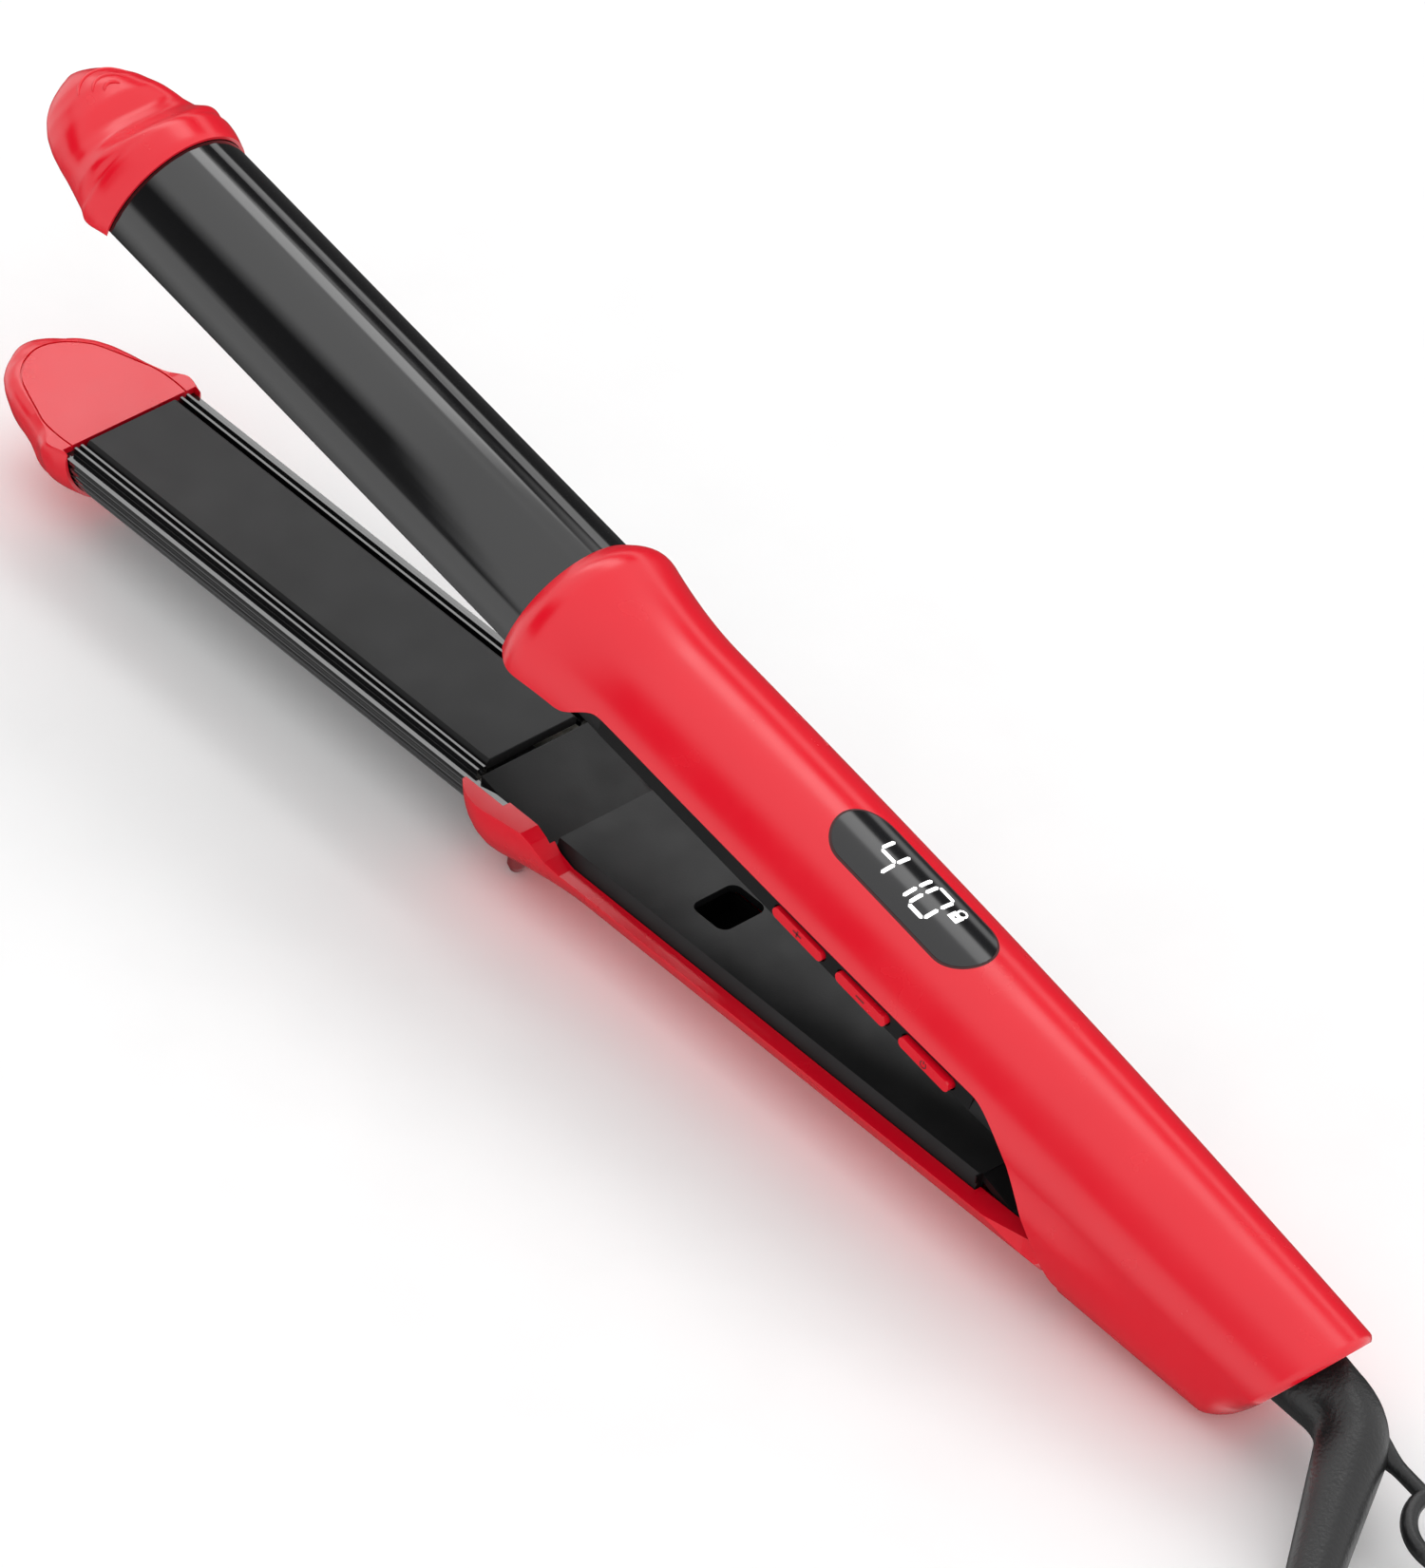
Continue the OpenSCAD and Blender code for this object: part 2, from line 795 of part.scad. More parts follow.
// The lower barrel has cooling ribs along both sides.
module lower_barrel() {
    color(black)
        lower()
            mirror([0, 0, 1]) {
                along(barrel_rear, 177.5)
                    barrel_section(false);
                along(177.5, barrel_front)
                    difference() {
                        barrel_section(true);
                        for (side = [-1, 1])
                            for (k = [0:4])
                                rotate(90 - side * (78 - 7.5 * k))
                                    translate([barrel_r + 0.15, 0])
                                        circle(0.6);
                    }
                along(177.5, 289.6)
                    for (side = [-1, 1])
                        for (v = [12.1, 13.6])
                            translate([side * v - 0.3, 0.5])
                                square([0.6, 1.5]);
            }
}

module lower_tip_cap() {
    color(red)
        lower()
            mirror([0, 0, 1])
                tip_cap();
}

module lower_insulator() {
    color(white)
        lower()
            mirror([0, 0, 1])
                insulator();
}

module lower_buffers() {
    color(dark_grey)
        lower()
            mirror([0, 0, 1])
                buffers();
}

module lower_plate() {
    color(ceramic)
        lower()
            mirror([0, 0, 1])
                plate();
}

module lower_heater() {
    color(silver)
        lower()
            mirror([0, 0, 1])
                heater();
}

module hinge_knuckle() {
    color(silver)
        lower()
            difference() {
                union() {
                    for (side = [-1, 1])
                        across(side * 7.6 - 1.6, side * 7.6 + 1.6) {
                            circle(5.4);
                            polygon([[-1.5, 5.1], [-14, -7], [-32, -8], [-32, -12], [-12, -12], [0, -5.4]]);
                        }
                    translate([-32, -6.2, -12])
                        cube([16, 12.4, 1.6]);
                }
                across(-20, 20)
                    circle(pin_r + pin_clear);
            }
}

module lower_screws() {
    color(silver)
        lower()
            for (u = [66, 140])
                translate([-u, 0, -17.5])
                    screw(9, 2.7, 1.2);
}

module rest_feet() {
    color(dark_red)
        lower()
            for (side = [-1, 1])
                translate([-170, side * 8.7, 0]) {
                    translate([0, 0, -19.8])
                        cylinder(r = 1.75, h = 2.4);
                    translate([0, 0, -21])
                        cylinder(r1 = 1.2, r2 = 1.75, h = 1.2 + eps);
                }
}

// ---- cord end ----

module swivel_collar() {
    color(black)
        upper() {
            along(-19.4, -8)
                circle(6);
            along(-10.6, -8)
                circle(8.2);
        }
}

module cord_boot() {
    tilt = acos(leg[2] / norm(leg));
    heading = atan2(leg[1], leg[0]);
    color(dark_grey) {
        upper()
            translate([19.4, 0, 0])
                rotate([0, 90, 0])
                    cylinder(r1 = boot_r, r2 = 6.4, h = elbow_u - 19.4);
        translate(elbow)
            sphere(6.7);
        translate(elbow)
            rotate([0, tilt, heading])
                cylinder(r1 = 6.4, r2 = 4.3, h = norm(leg));
    }
}

module hang_loop() {
    color(dark_grey)
        upper() {
            along(-55.4, -44)
                circle(1.5);
            translate([64.4, 0, 0])
                rotate_extrude($fn = 48)
                    translate([9, 0])
                        circle(1.6, $fn = 24);
        }
}

module cord_lead() {
    color(black)
        skinned(tube_rings(smooth_route(lead_route), cord_d / 2));
}

// The rest of the cord, folded back and forth and tied.
module cord_hank() {
    color(black)
        difference() {
            translate([hank_at[0], hank_at[1], 0])
                linear_extrude(hank_size[2])
                    stadium(hank_size[0], hank_size[1]);
            translate([hank_at[0] - 6.1, -100, -1])
                cube([12.2, 200, 2]);
        }
}

module cord_tie() {
    color(dark_grey)
        translate([hank_at[0] - 6, hank_at[1], 0])
            rotate([90, 0, 90])
                linear_extrude(12)
                    difference() {
                        translate([0, hank_size[2] / 2 + 0.7])
                            rounded([hank_size[1] + 2.2, hank_size[2] + 1.4], 1.2);
                        translate([-hank_size[1] / 2 - 0.1, 0.9])
                            square([hank_size[1] + 0.2, hank_size[2] - 0.5]);
                    }
}

module cord_tail() {
    color(black)
        skinned(tube_rings(smooth_route(tail_route), cord_d / 2));
}

module plug_body() {
    color(black)
        translate(plug_at) {
            translate([-12, 0, 0])
                rotate([0, 90, 0])
                    cylinder(r1 = 3.6, r2 = 5.5, h = 12 + eps);
            rotate([90, 0, 90])
                linear_extrude(27)
                    rounded([19, 13], 4);
        }
}

module plug_blades() {
    color(silver)
        translate(plug_at)
            for (side = [-1, 1])
                translate([27, side * 6.35 - 0.75, -3.2])
                    cube([17, 1.5, 6.4]);
}

upper_handle_shell();
hinge_cover();
rear_end_cap();
upper_inner_cover();
upper_barrel();
upper_tip_cap();
upper_insulator();
upper_buffers();
upper_plate();
upper_heater();
thermal_fuse();
display_lens();
display_module();
control_board();
tact_switches();
plus_button();
minus_button();
power_button();
lock_slider();
upper_screws();
hinge_bracket();
hinge_pin();
hinge_spring();
swivel_socket();
lower_handle_shell();
lower_inner_cover();
lower_barrel();
lower_tip_cap();
lower_insulator();
lower_buffers();
lower_plate();
lower_heater();
hinge_knuckle();
lower_screws();
rest_feet();
swivel_collar();
cord_boot();
hang_loop();
cord_lead();
cord_hank();
cord_tie();
cord_tail();
plug_body();
plug_blades();
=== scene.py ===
from math import asin, cos, degrees, pi, radians, sin, sqrt

import bpy
import bmesh
from mathutils import Matrix, Vector


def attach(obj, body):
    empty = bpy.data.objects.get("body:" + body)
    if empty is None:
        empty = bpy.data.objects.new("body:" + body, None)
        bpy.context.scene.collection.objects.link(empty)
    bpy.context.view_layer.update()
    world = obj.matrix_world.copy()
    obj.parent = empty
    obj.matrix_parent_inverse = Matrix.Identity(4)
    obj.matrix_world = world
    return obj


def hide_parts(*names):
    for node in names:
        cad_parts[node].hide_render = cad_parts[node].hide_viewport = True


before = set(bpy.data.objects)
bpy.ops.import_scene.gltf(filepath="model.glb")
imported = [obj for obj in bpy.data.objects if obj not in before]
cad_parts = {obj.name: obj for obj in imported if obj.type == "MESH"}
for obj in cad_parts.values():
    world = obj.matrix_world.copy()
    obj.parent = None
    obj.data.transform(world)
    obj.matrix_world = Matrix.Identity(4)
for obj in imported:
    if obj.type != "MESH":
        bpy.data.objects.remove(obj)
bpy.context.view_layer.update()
scene = bpy.context.scene

# ---- frames: sizes are in mm, and MM turns them into metres ----

MM = 0.001
OPEN = radians(10.6)
HINGE = Vector((145.3, 0, 21))
UPPER = Matrix.Rotation(OPEN, 3, "Y")
LOWER = Matrix.Identity(3)


def spot(p, arm=None):
    v = Vector(p)
    if arm is not None:
        v = arm @ v + HINGE
    return v * MM


def on_upper(u, v, w):
    return spot((-u, v, w), UPPER)


def on_lower(u, v, w):
    return spot((-u, v, w), LOWER)


# ---- camera ----

AZIMUTH, ELEVATION, ROLL = radians(42.78), radians(39.94), radians(7.58)
DISTANCE, SIDE, RISE = 2400, 86.98, -85.83
back = Vector((sin(AZIMUTH) * cos(ELEVATION), -cos(AZIMUTH) * cos(ELEVATION), sin(ELEVATION)))
level = Vector((cos(AZIMUTH), sin(AZIMUTH), 0))
over = back.cross(level)
right = cos(ROLL) * level + sin(ROLL) * over
up = -sin(ROLL) * level + cos(ROLL) * over
camera_data = bpy.data.cameras.new("camera")
camera = bpy.data.objects.new("camera", camera_data)
scene.collection.objects.link(camera)
turn = Matrix((right, up, back)).transposed()
camera.matrix_world = Matrix.Translation(
    spot(HINGE + back * DISTANCE - right * SIDE - up * RISE)) @ turn.to_4x4()
camera_data.lens = 317.85
camera_data.sensor_width = 36
camera_data.clip_start = 0.05
camera_data.clip_end = 30
scene.camera = camera

# ---- materials ----


def material(name, color, rough, specular=0.5, metallic=0.0, grain=None, bump=0.0, mottle=0.0,
             rough_var=0.0, emission=None):
    """Moulded, coated or metal surface. grain is the size of its texture in mm."""
    m = bpy.data.materials.new(name)
    m.use_nodes = True
    tree = m.node_tree
    b = tree.nodes["Principled BSDF"]
    b.inputs["Base Color"].default_value = (*color, 1)
    b.inputs["Roughness"].default_value = rough
    b.inputs["Specular IOR Level"].default_value = specular
    b.inputs["Metallic"].default_value = metallic
    if emission:
        b.inputs["Emission Color"].default_value = (*color, 1)
        b.inputs["Emission Strength"].default_value = emission
    place = tree.nodes.new("ShaderNodeTexCoord").outputs["Object"]

    def noise(size, detail=3.0):
        n = tree.nodes.new("ShaderNodeTexNoise")
        n.inputs["Scale"].default_value = 1000.0 / size
        n.inputs["Detail"].default_value = detail
        tree.links.new(place, n.inputs["Vector"])
        return n.outputs["Fac"]

    def spread(source, low, high):
        r = tree.nodes.new("ShaderNodeMapRange")
        r.inputs["From Min"].default_value = 0.3
        r.inputs["From Max"].default_value = 0.7
        r.inputs["To Min"].default_value = low
        r.inputs["To Max"].default_value = high
        tree.links.new(source, r.inputs["Value"])
        return r.outputs["Result"]

    if mottle:
        mix = tree.nodes.new("ShaderNodeMix")
        mix.data_type = "RGBA"
        mix.inputs["A"].default_value = (*[c * (1 - mottle) for c in color], 1)
        mix.inputs["B"].default_value = (*[min(1, c * (1 + mottle)) for c in color], 1)
        tree.links.new(spread(noise(22, 2), 0, 1), mix.inputs["Factor"])
        tree.links.new(mix.outputs["Result"], b.inputs["Base Color"])
    if rough_var:
        tree.links.new(spread(noise(9, 4), max(0.02, rough - rough_var), rough + rough_var),
                       b.inputs["Roughness"])
    if grain:
        n = tree.nodes.new("ShaderNodeBump")
        n.inputs["Strength"].default_value = bump
        n.inputs["Distance"].default_value = 0.00012
        tree.links.new(noise(grain, 4), n.inputs["Height"])
        tree.links.new(n.outputs["Normal"], b.inputs["Normal"])
    return m


M = {
    "red": material("red_plastic", (0.8, 0.002, 0.017), 0.25, specular=0.62, grain=0.5, bump=0.05,
                    mottle=0.02, rough_var=0.03),
    "black": material("black_plastic", (0.008, 0.008, 0.0085), 0.36, specular=0.25, grain=0.35,
                      bump=0.12, mottle=0.15, rough_var=0.05),
    "barrel": material("barrel_coating", (0.004, 0.004, 0.0045), 0.1, specular=0.9, grain=2.2,
                       bump=0.01, mottle=0.1, rough_var=0.015),
    "plate": material("ceramic_plate", (0.017, 0.017, 0.0175), 0.4, specular=0.25, grain=0.3,
                      bump=0.05, mottle=0.1, rough_var=0.03),
    "insulation": material("insulation", (0.75, 0.73, 0.66), 0.8, grain=0.6, bump=0.3, mottle=0.08),
    "silicone": material("silicone", (0.08, 0.08, 0.08), 0.6, grain=0.5, bump=0.1, mottle=0.1),
    "foil": material("heater_foil", (0.7, 0.7, 0.7), 0.3, metallic=1, grain=3, bump=0.4,
                     mottle=0.06),
    "lens": material("lens", (0.008, 0.008, 0.009), 0.14, specular=0.6, grain=6, bump=0.004,
                     mottle=0.1),
    # The groove material is a dark red copy of the handle plastic: painted shade standing in for
    # the recess of the display seam.
    "groove": material("groove", (0.05, 0.004, 0.005), 0.6, grain=0.5, bump=0.1, mottle=0.1),
    "display": material("display", (0.7, 0.7, 0.7), 0.5, grain=1, bump=0.05, mottle=0.05),
    "digit": material("digit", (1.0, 1.0, 1.0), 0.5, grain=1, bump=0.02, emission=1.1),
    "board": material("circuit_board", (0.02, 0.16, 0.05), 0.4, grain=0.8, bump=0.2, mottle=0.2),
    "steel": material("steel", (0.55, 0.55, 0.56), 0.3, metallic=1, grain=0.4, bump=0.1,
                      mottle=0.06, rough_var=0.06),
    "dark_red": material("dark_red_rubber", (0.2, 0.006, 0.01), 0.55, grain=0.4, bump=0.15,
                         mottle=0.1),
    "rubber": material("black_rubber", (0.009, 0.009, 0.0095), 0.36, specular=0.5, grain=0.8,
                       bump=1.0, mottle=0.15, rough_var=0.06),
    "cord": material("cord_rubber", (0.016, 0.016, 0.017), 0.45, grain=0.3, bump=0.15, mottle=0.15,
                     rough_var=0.05),
    "tie": material("tie", (0.03, 0.03, 0.03), 0.6, grain=0.25, bump=0.3, mottle=0.15),
    "brass": material("plated_brass", (0.72, 0.72, 0.7), 0.22, metallic=1, grain=0.5, bump=0.05,
                      mottle=0.04, rough_var=0.05),
    # The key signs' material is a darker red copy of the key plastic: painted shade standing in for
    # their engraved cuts.
    "mark": material("engraved_sign_shade", (0.16, 0.006, 0.01), 0.5, grain=0.5, bump=0.05, mottle=0.05),
}

# ---- mesh helpers ----


def piece(name, points, faces, body, look, replaces=(), sharp=35, bevel=0.0, segments=2):
    mesh = bpy.data.meshes.new(name)
    mesh.from_pydata([tuple(p) for p in points], [], faces)
    mesh.validate()
    bm = bmesh.new()
    bm.from_mesh(mesh)
    bmesh.ops.remove_doubles(bm, verts=bm.verts, dist=1e-6)
    bmesh.ops.recalc_face_normals(bm, faces=bm.faces)
    bm.to_mesh(mesh)
    bm.free()
    obj = bpy.data.objects.new(name, mesh)
    scene.collection.objects.link(obj)
    return finish_piece(obj, body, look, replaces, sharp, bevel, segments)


def finish_piece(obj, body, look, replaces=(), sharp=35, bevel=0.0, segments=2):
    mesh = obj.data
    mesh.materials.clear()
    mesh.materials.append(M[look])
    mesh.shade_smooth()
    mesh.set_sharp_from_angle(angle=radians(sharp))
    if bevel:
        mod = obj.modifiers.new("bevel", "BEVEL")
        mod.width = bevel * MM
        mod.segments = segments
        mod.limit_method = "ANGLE"
        mod.angle_limit = radians(sharp)
        mod.harden_normals = False
    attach(obj, body)
    if replaces:
        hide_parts(*replaces)
    return obj


def ring_faces(rows, n, closed=True):
    faces = []
    for i in range(rows - 1):
        for j in range(n if closed else n - 1):
            a, b = i * n + j, i * n + (j + 1) % n
            faces.append((a, b, b + n, a + n))
    return faces


def loft(rings):
    """Rings of equal length joined into a closed skin, with a fan at each end."""
    n = len(rings[0])
    points = [p for r in rings for p in r]
    faces = ring_faces(len(rings), n)
    for base in (0, (len(rings) - 1) * n):
        centre = sum((Vector(p) for p in rings[base // n]), Vector()) / n
        points.append(centre)
        c = len(points) - 1
        faces += [(c, base + j, base + (j + 1) % n) for j in range(n)]
    return points, faces


def hoop(rings):
    """Rings of equal length joined end to end, so that the last meets the first."""
    n = len(rings[0])
    points = [p for r in rings for p in r]
    last = (len(rings) - 1) * n
    faces = ring_faces(len(rings), n)
    faces += [(last + k, last + (k + 1) % n, (k + 1) % n, k) for k in range(n)]
    return points, faces


def clamp(x):
    return max(0, min(1, x))


def tube(path, radius, sides=24):
    """Rings round a path; radius is a number or one number a point."""
    rings = []
    side = None
    for i, p in enumerate(path):
        t = (path[min(i + 1, len(path) - 1)] - path[max(i - 1, 0)]).normalized()
        if side is None:
            side = t.cross(Vector((0, 0, 1))).normalized()
        side = (side - t * side.dot(t)).normalized()
        other = side.cross(t)
        r = radius if isinstance(radius, (int, float)) else radius[i]
        rings.append([p + (side * cos(2 * pi * k / sides) + other * sin(2 * pi * k / sides)) * r
                      for k in range(sides)])
    return rings


def catmull(route, steps):
    """A smooth line through route's inner points; its two end points only steer it."""
    out = []
    for i in range(1, len(route) - 2):
        p0, p1, p2, p3 = (Vector(route[i + k]) for k in (-1, 0, 1, 2))
        for s in range(steps):
            t = s / steps
            out.append(0.5 * (2 * p1 + (p2 - p0) * t + (2 * p0 - 5 * p1 + 4 * p2 - p3) * t * t
                              + (3 * p1 - p0 - 3 * p2 + p3) * t ** 3))
    out.append(Vector(route[-2]))
    return out


def cut(obj, *cutters):
    """Takes closed meshes away from a piece, for good."""
    for c in cutters:
        mod = obj.modifiers.new("cut", "BOOLEAN")
        mod.object = c
        mod.operation = "DIFFERENCE"
        mod.solver = "EXACT"
    bpy.context.view_layer.update()
    new = bpy.data.meshes.new_from_object(
        obj.evaluated_get(bpy.context.evaluated_depsgraph_get()))
    obj.modifiers.clear()
    obj.data = new
    for c in cutters:
        bpy.data.objects.remove(c)
    return obj


def raw(name, points, faces):
    mesh = bpy.data.meshes.new(name)
    mesh.from_pydata([tuple(p) for p in points], [], faces)
    bm = bmesh.new()
    bm.from_mesh(mesh)
    bmesh.ops.remove_doubles(bm, verts=bm.verts, dist=1e-7)
    bmesh.ops.recalc_face_normals(bm, faces=bm.faces)
    bm.to_mesh(mesh)
    bm.free()
    obj = bpy.data.objects.new(name, mesh)
    scene.collection.objects.link(obj)
    return obj


# ---- the cord: boot, lead, hank and tail ----

BOOT_END = (206.5, -36, 7.5)
LEAD = [(200, -26.3, 9.2), BOOT_END, (213, -43.5, 5.8), (224, -49.5, 3.6), (236, -52, 3),
        (250, -52, 3), (272, -52, 3), (284, -52, 3)]
TAIL = [(334, -52, 9.2), (346, -52, 9.2), (352, -52, 8.8), (358, -52, 8), (364, -52, 7),
        (370, -52, 6.5), (382, -52, 6.5)]
HANK_MID, HANK_LONG, HANK_WIDE = (313, -22), 138, 66
HANK_REAR = HANK_MID[0] - (HANK_LONG - HANK_WIDE) / 2
PLUG = (382, -52, 6.5)
CORD_R = 3.0


def ease(t):
    t = clamp(t)
    return t * t * (3 - 2 * t)


def hank_points():
    """Five turns and a last run, in two layers of three nested runs."""
    rear = HANK_REAR
    front = HANK_MID[0] + (HANK_LONG - HANK_WIDE) / 2
    mid = HANK_MID[1]
    turns = [(30, 3), (24, 3), (18, 3), (18, 9.2), (24, 9.2), (30, 9.2)]
    out = []
    for k, (r, z) in enumerate(turns):
        for i in range(12):
            out.append(Vector((rear + (front - rear) * i / 12, mid - r, z)))
        if k == len(turns) - 1:
            break
        r2, z2 = turns[k + 1]
        for i in range(28):
            a = -pi / 2 + pi * i / 28
            out.append(Vector((front + r * cos(a), mid + r * sin(a), z)))
        for i in range(12):
            out.append(Vector((front - (front - rear) * i / 12, mid + r, z)))
        for i in range(28):
            t = i / 28
            a = pi / 2 + pi * t
            rr = r + (r2 - r) * ease(t)
            out.append(Vector((rear + rr * cos(a), mid + rr * sin(a), z + (z2 - z) * ease(t))))
    return out


lead_line = catmull(LEAD, 6)[:-1]
tail_line = catmull(TAIL, 4)
line = ([p for p in lead_line if p.x < HANK_REAR - 2] + hank_points()
        + [p for p in tail_line if p.x > HANK_REAR + HANK_LONG - HANK_WIDE - 2])
curve = bpy.data.curves.new("mains_cord", "CURVE")
curve.dimensions = "3D"
spline = curve.splines.new("POLY")
spline.points.add(len(line) - 1)
for dot, p in zip(spline.points, line):
    dot.co = (*(p * MM), 1)
curve.bevel_depth = CORD_R * MM
curve.bevel_resolution = 5
curve.use_fill_caps = True
curve.twist_mode = "MINIMUM"
curve.materials.append(M["cord"])
mains_cord = bpy.data.objects.new("mains_cord", curve)
scene.collection.objects.link(mains_cord)
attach(mains_cord, "cord_end")
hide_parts("cord_lead", "cord_hank", "cord_tail")

# Boot: one moulded tube that turns at the elbow and tapers along its leg.
ELBOW = UPPER @ Vector((38, 0, 0)) + HINGE
leg = (Vector(BOOT_END) - ELBOW).normalized()
axis = UPPER @ Vector((1, 0, 0))
BEND = 7.0
bend_in, bend_out = ELBOW - axis * BEND, ELBOW + leg * BEND
path, radii = [], []
for i in range(9):
    t = i / 9
    path.append(HINGE + axis * 19.4 + (bend_in - HINGE - axis * 19.4) * t)
    radii.append(7.7 - 0.9 * t)
for i in range(15):
    t = i / 14
    path.append(bend_in * (1 - t) ** 2 + ELBOW * 2 * t * (1 - t) + bend_out * t * t)
    radii.append(6.8 - 0.3 * t)
leg_long = (Vector(BOOT_END) - bend_out).length
for i in range(1, 25):
    t = i / 24
    path.append(bend_out + leg * leg_long * t)
    radii.append(6.5 - 2.1 * t - (0.5 * max(0, t - 0.94) / 0.06 if t > 0.94 else 0))
path = [p * MM for p in path]
radii = [r * MM for r in radii]
boot = piece("boot", *loft(tube(path, radii, 48)), "cord_end", "rubber", ["cord_boot"], sharp=50,
             bevel=0.5, segments=3)

# Hang loop: a thin moulded ring on a stem that thickens into the boot.
LOOP_MID, LOOP_R, LOOP_STEPS = 64.4, 9, 64
loop_path = [UPPER @ Vector((LOOP_MID + LOOP_R * cos(pi + 2 * pi * i / LOOP_STEPS),
                             LOOP_R * sin(2 * pi * i / LOOP_STEPS), 0)) + HINGE
             for i in range(LOOP_STEPS)]
rings = []
for i in range(LOOP_STEPS):
    p, q = loop_path[i], loop_path[(i + 1) % LOOP_STEPS]
    t = (q - loop_path[i - 1]).normalized()
    n = UPPER @ Vector((0, 0, 1))
    s = t.cross(n).normalized()
    rings.append([(p + (s * cos(2 * pi * k / 20) + n * sin(2 * pi * k / 20)) * 1.6) * MM
                  for k in range(20)])
piece("loop_ring", *hoop(rings), "cord_end", "rubber", ["hang_loop"])
stem = [(HINGE + axis * (40 + 16 * i / 12)) * MM for i in range(13)]
piece("loop_stem", *loft(tube(stem, [(3.2 - 1.72 * ease(i / 7)) * MM for i in range(13)], 24)),
      "cord_end", "rubber")

# Plug: ribbed strain relief and a waisted body with grips; its two blades are the carried-over
# node.
px, py, pz = PLUG
path = [Vector((px - 12 + 12.4 * i / 36, py, pz)) * MM for i in range(37)]
radii = [(3.6 + 1.9 * i / 36 - (0.55 if i % 6 in (3, 4) and 2 < i < 33 else 0)) * MM
         for i in range(37)]
piece("plug_relief", *loft(tube(path, radii, 32)), "cord_end", "rubber", sharp=60)
rings = []
for i in range(28):
    t = i / 27
    x = px + 27 * t
    lip = 1 - 0.09 * (max(0, 1 - t / 0.08) ** 2 + max(0, 1 - (1 - t) / 0.06) ** 2)
    waist = 1 - 0.1 * sin(pi * min(1, t / 0.72)) ** 2
    a, b = 9.5 * lip * waist, 6.5 * lip * (1 - 0.05 * sin(pi * min(1, t / 0.72)) ** 2)
    if 0.22 < t < 0.62 and i % 2:
        a -= 0.45
    ring = []
    for k in range(56):
        c, s = cos(2 * pi * k / 56), sin(2 * pi * k / 56)
        ring.append(Vector((x, py + a * (abs(c) ** 0.55) * (1 if c > 0 else -1),
                            pz + b * (abs(s) ** 0.55) * (1 if s > 0 else -1))) * MM)
    rings.append(ring)
plug = piece("plug", *loft(rings), "cord_end", "rubber", ["plug_body"], sharp=50)

# Tie: a soft strap round the hank; its folded-over tail is not drawn.
width, high = HANK_WIDE + 2.0, 13.6
outline = []
for cy, cz, a0 in ((width / 2 - 4, high - 4, 0), (-width / 2 + 4, high - 4, 90),
                   (-width / 2 + 4, 4, 180), (width / 2 - 4, 4, 270)):
    for i in range(9):
        a = radians(a0 + 90 * i / 8)
        outline.append((cy + 4 * cos(a), cz + 4 * sin(a)))
rings = []
for x, grow in ((-6, 0.75), (-5.7, 0.95), (5.7, 0.95), (6, 0.75), (6, 0.0), (-6, 0.0)):
    ring = []
    for (y, z) in outline:
        n = Vector((y / (width / 2), (z - high / 2) / (high / 2))).normalized()
        ring.append(Vector((HANK_MID[0] + x, HANK_MID[1] + y - n.x * (0.95 - grow),
                            max(0.02, z - n.y * (0.95 - grow)))) * MM)
    rings.append(ring)
tie = piece("hank_tie", *hoop(rings), "cord_end", "tie", ["cord_tie"], sharp=40)

# ---- upper handle and hinge housing ----


def handle_r(u):
    if u < 148:
        return 17.05 - 4.4 * ((148 - u) / 176) ** 2.35
    if u < 170:
        return 17.05 + 2.8 * ((u - 148) / 22) ** 1.8
    return 19.85 - 3.6 * ((u - 170) / 6) ** 1.8


def handle_soft(u):
    reach = min(1.6, 176 - u)
    return sum(handle_r(u + reach * k / 3) for k in range(-3, 4)) / 7


def fillet_at(u):
    into = max(0, min(7.4, -17.6 - u))
    return 8 - sqrt(64 - into * into)


def house_depth(u):
    return 20.39 + 0.0711 * u - fillet_at(u)


def seam_at(u):
    return max(-16.0, -0.84 * house_depth(u))


def edge_w(u):
    if u > 152:
        return 6 - 4.8 * ease((u - 151.5) / 8)
    if u > 50:
        return 6.0
    if u > 22:
        return 6 - 22 * ((50 - u) / 28) ** 1.5
    return seam_at(u)


def edge_soft(u):
    return sum(edge_w(u + k) for k in (-1, -0.5, 0, 0.5, 1)) / 5 if u > 23 else edge_w(u)


def section_point(u, angle, inset):
    low = angle < 0 or angle > 180
    past = -angle if angle < 0 else angle - 180
    r = handle_soft(u) - inset
    deep = house_depth(u) - inset
    if low:
        w = -deep * sin(radians(past)) ** (2 / 3.2)
        half = r + 1.3 * clamp(u / 25) * clamp(-w / 6)
        half -= fillet_at(u) * clamp(-w / 8)
        v = (-1 if angle < 0 else 1) * half * max(0, cos(radians(past))) ** (2 / 3.2)
    else:
        w = r * sin(radians(angle))
        v = -r * cos(radians(angle))
    lean = 0.466 * clamp(u / -25)
    return on_upper(u - lean * w, v, w)


def edge_angle(w, r, deep):
    if w >= 0:
        return -degrees(asin(w / r))
    return degrees(asin((-w / deep) ** 1.6))


def rounding(u):
    return 0.9 * ((-23.6 - u) / 1.4) ** 2 if u < -23.6 else 0.0


def wall(u):
    if u > 167:
        return handle_r(u) - 16.1
    return 1.5 + 0.3 * clamp((u - 50) / 8)


def shell_ring(u):
    ring = []
    for inset, order in ((rounding(u), 1), (wall(u), -1)):
        e = edge_angle(edge_soft(u), handle_soft(u) - inset, house_depth(u) - inset)
        arc = [section_point(u, -e + (180 + 2 * e) * i / 96, inset) for i in range(97)]
        ring += arc[::order]
    return ring


def cover_ring(u):
    ring = []
    for inset, order in ((rounding(u), 1), (1.5, -1)):
        e = edge_angle(seam_at(u) - 0.12, handle_soft(u) - inset, house_depth(u) - inset)
        angles = [e + (180 - 2 * e) * i / 48 for i in range(49)]
        arc = [section_point(u, 180 + t if t <= 90 else t - 180, inset) for t in angles]
        ring += arc[::order]
    return ring


